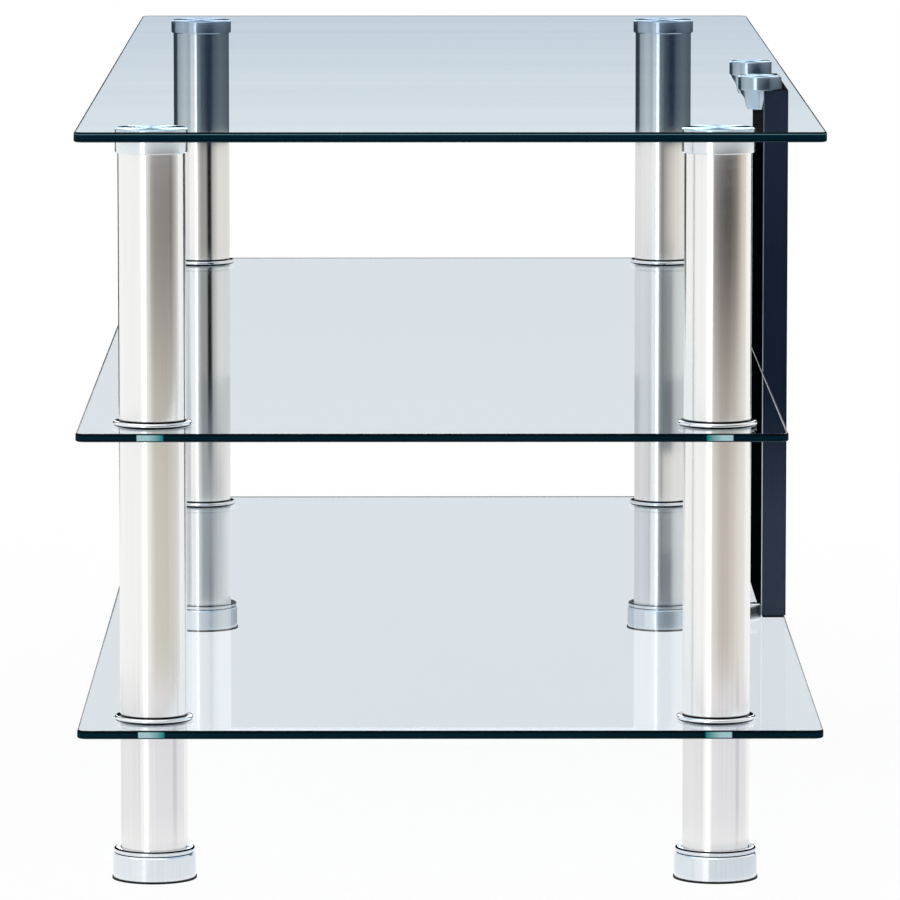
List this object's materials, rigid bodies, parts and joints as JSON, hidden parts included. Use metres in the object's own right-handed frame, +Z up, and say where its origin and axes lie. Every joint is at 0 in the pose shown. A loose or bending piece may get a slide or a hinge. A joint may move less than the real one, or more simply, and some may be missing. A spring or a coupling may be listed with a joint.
{
  "type": "television stand",
  "caption": "Open tiered television stand: clear glass shelves on round polished steel legs, with screw-in levelling feet and a black upright board at the rear.",
  "frame": {"origin": "on the floor, under the middle of the top glass", "axes": "+X along the stand, -Y towards the front, +Z up"},
  "size_m": [1.1, 0.44, 0.448],
  "materials": {
    "tempered_glass": "clear float glass, toughened, with pencil-polished edges",
    "polished_steel_tube": "polished stainless steel tube with a fine lengthwise grain",
    "chrome_plate": "bright chrome plate",
    "black_rubber": "matt black rubber",
    "moulded_nylon": "moulded black nylon",
    "clear_vinyl": "clear soft vinyl",
    "black_lacquered_board": "black lacquered fibreboard with a satin edge",
    "zinc_plated_steel": "zinc-plated steel"
  },
  "bodies": {
    "stand": {"back_panel": "black_lacquered_board", "bottom_shelf": "tempered_glass", "bottom_shelf_gaskets": "clear_vinyl", "bottom_shelf_studs": "zinc_plated_steel", "bracket_screws": "zinc_plated_steel", "cap_studs": "zinc_plated_steel", "front_left_bottom_ring": "chrome_plate", "front_left_cap": "chrome_plate", "front_left_lower_tube": "polished_steel_tube", "front_left_middle_ring": "chrome_plate", "front_left_middle_tube": "polished_steel_tube", "front_left_upper_tube": "polished_steel_tube", "front_right_bottom_ring": "chrome_plate", "front_right_cap": "chrome_plate", "front_right_lower_tube": "polished_steel_tube", "front_right_middle_ring": "chrome_plate", "front_right_middle_tube": "polished_steel_tube", "front_right_upper_tube": "polished_steel_tube", "left_panel_bracket": "chrome_plate", "left_panel_stop": "chrome_plate", "lower_tube_plugs": "moulded_nylon", "middle_shelf": "tempered_glass", "middle_shelf_gaskets": "clear_vinyl", "middle_shelf_studs": "zinc_plated_steel", "middle_tube_plugs": "moulded_nylon", "panel_pad": "black_rubber", "rear_left_bottom_ring": "chrome_plate", "rear_left_cap": "chrome_plate", "rear_left_lower_tube": "polished_steel_tube", "rear_left_middle_ring": "chrome_plate", "rear_left_middle_tube": "polished_steel_tube", "rear_left_upper_tube": "polished_steel_tube", "rear_right_bottom_ring": "chrome_plate", "rear_right_cap": "chrome_plate", "rear_right_lower_tube": "polished_steel_tube", "rear_right_middle_ring": "chrome_plate", "rear_right_middle_tube": "polished_steel_tube", "rear_right_upper_tube": "polished_steel_tube", "right_panel_bracket": "chrome_plate", "right_panel_stop": "chrome_plate", "top_glass": "tempered_glass", "upper_tube_plugs": "moulded_nylon"},
    "front_left_foot": {"front_left_foot_cup": "chrome_plate", "front_left_foot_bolt": "zinc_plated_steel", "front_left_foot_base": "black_rubber"},
    "front_right_foot": {"front_right_foot_cup": "chrome_plate", "front_right_foot_bolt": "zinc_plated_steel", "front_right_foot_base": "black_rubber"},
    "rear_left_foot": {"rear_left_foot_cup": "chrome_plate", "rear_left_foot_bolt": "zinc_plated_steel", "rear_left_foot_base": "black_rubber"},
    "rear_right_foot": {"rear_right_foot_cup": "chrome_plate", "rear_right_foot_bolt": "zinc_plated_steel", "rear_right_foot_base": "black_rubber"}
  },
  "joints": [
    {"name": "front_left_foot_level", "type": "slide", "parent": "stand", "child": "front_left_foot", "axis": [0, 0, -1], "range_m": [0, 0.006]},
    {"name": "front_right_foot_level", "type": "slide", "parent": "stand", "child": "front_right_foot", "axis": [0, 0, -1], "range_m": [0, 0.006]},
    {"name": "rear_left_foot_level", "type": "slide", "parent": "stand", "child": "rear_left_foot", "axis": [0, 0, -1], "range_m": [0, 0.006]},
    {"name": "rear_right_foot_level", "type": "slide", "parent": "stand", "child": "rear_right_foot", "axis": [0, 0, -1], "range_m": [0, 0.006]}
  ]
}
